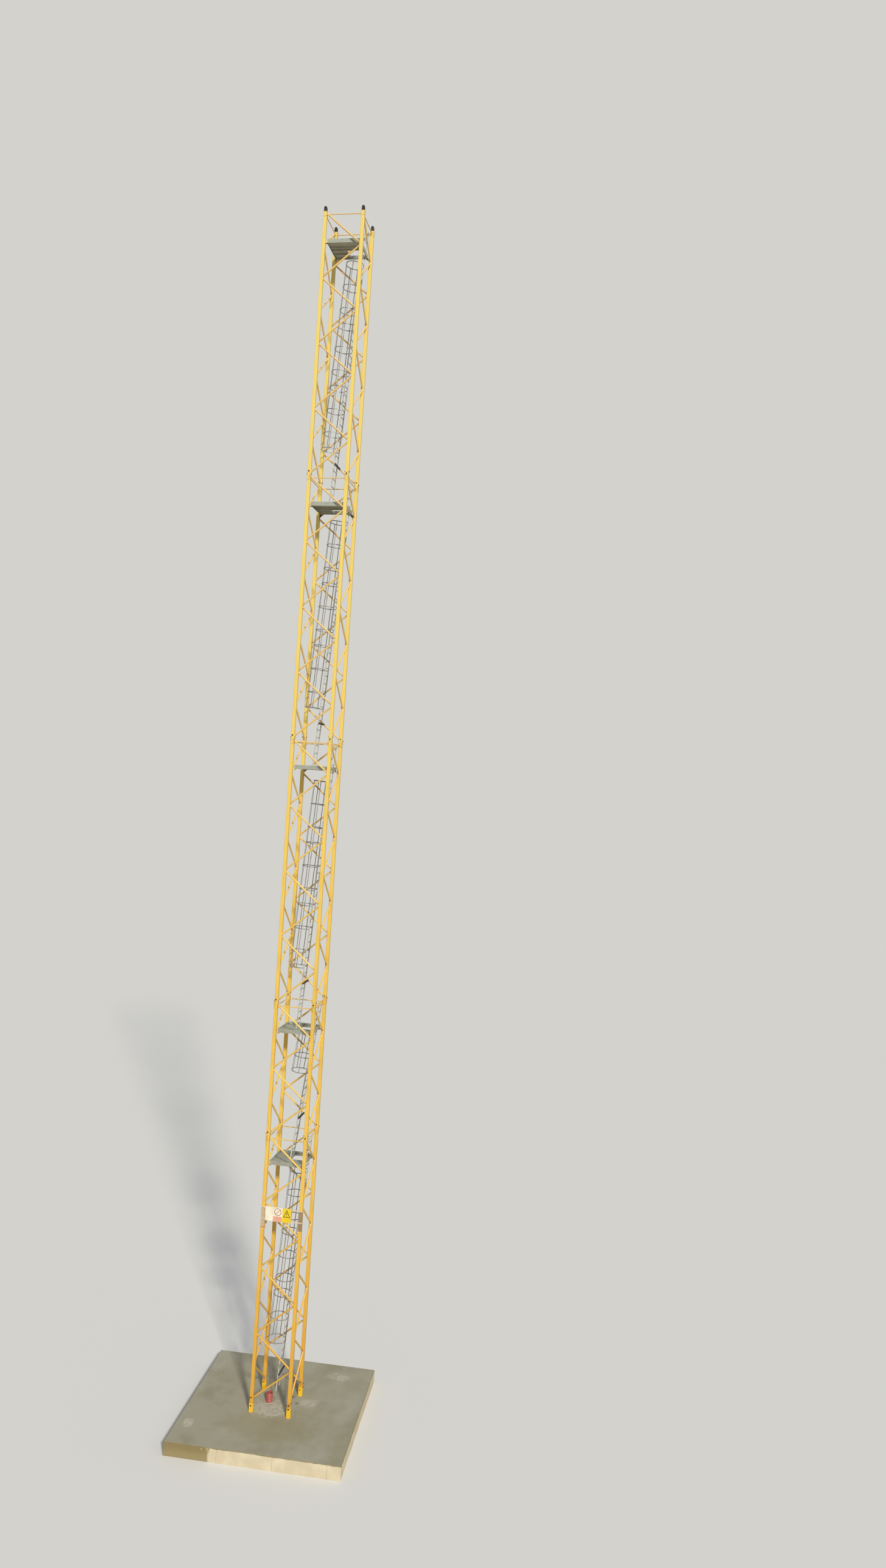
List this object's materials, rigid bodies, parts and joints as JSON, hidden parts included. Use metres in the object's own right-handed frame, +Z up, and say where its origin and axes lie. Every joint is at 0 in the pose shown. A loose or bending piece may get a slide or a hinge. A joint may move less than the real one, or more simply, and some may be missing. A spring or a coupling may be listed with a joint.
{
  "type": "tower crane mast, 1:2 scale model",
  "caption": "Square lattice mast of a tower crane on its foundation block, a 1:2 scale model, with platforms, ladders, safety cages and free spigots on top.",
  "frame": {"origin": "middle of the foundation block's underside", "axes": "+Z up along the mast; the front, with the warning board, faces -Y; +X to the right"},
  "size_m": [3.3822, 3.2388, 23.072],
  "materials": {
    "yellow_paint": "satin",
    "feet_paint": "satin",
    "galvanised_steel": "matt galvanised",
    "cage_steel": "matt galvanised",
    "dark_steel": "greased",
    "concrete": "rough",
    "board_enamel": "gloss",
    "red_plastic": "dusty"
  },
  "bodies": {
    "root": {"foundation_block": "concrete", "anchor_feet": "feet_paint", "base_legs": "yellow_paint", "base_front_lacing": "yellow_paint", "base_right_lacing": "yellow_paint", "base_back_lacing": "yellow_paint", "base_left_lacing": "yellow_paint", "base_platform": "galvanised_steel", "base_ladder": "galvanised_steel", "base_cage": "cage_steel", "short_legs": "yellow_paint", "short_front_lacing": "yellow_paint", "short_right_lacing": "yellow_paint", "short_back_lacing": "yellow_paint", "short_left_lacing": "yellow_paint", "short_platform": "galvanised_steel", "short_ladder": "galvanised_steel", "short_cage": "cage_steel", "lower_legs": "yellow_paint", "lower_front_lacing": "yellow_paint", "lower_right_lacing": "yellow_paint", "lower_back_lacing": "yellow_paint", "lower_left_lacing": "yellow_paint", "lower_platform": "galvanised_steel", "lower_ladder": "galvanised_steel", "lower_cage": "cage_steel", "middle_legs": "yellow_paint", "middle_front_lacing": "yellow_paint", "middle_right_lacing": "yellow_paint", "middle_back_lacing": "yellow_paint", "middle_left_lacing": "yellow_paint", "middle_platform": "galvanised_steel", "middle_ladder": "galvanised_steel", "middle_cage": "cage_steel", "top_legs": "yellow_paint", "top_front_lacing": "yellow_paint", "top_right_lacing": "yellow_paint", "top_back_lacing": "yellow_paint", "top_left_lacing": "yellow_paint", "top_platform": "galvanised_steel", "top_ladder": "galvanised_steel", "top_cage": "cage_steel", "joint_spigots": "dark_steel", "top_spigots": "dark_steel", "joint_pins": "dark_steel", "warning_board": "board_enamel", "cable_duct": "red_plastic"}
  },
  "joints": []
}
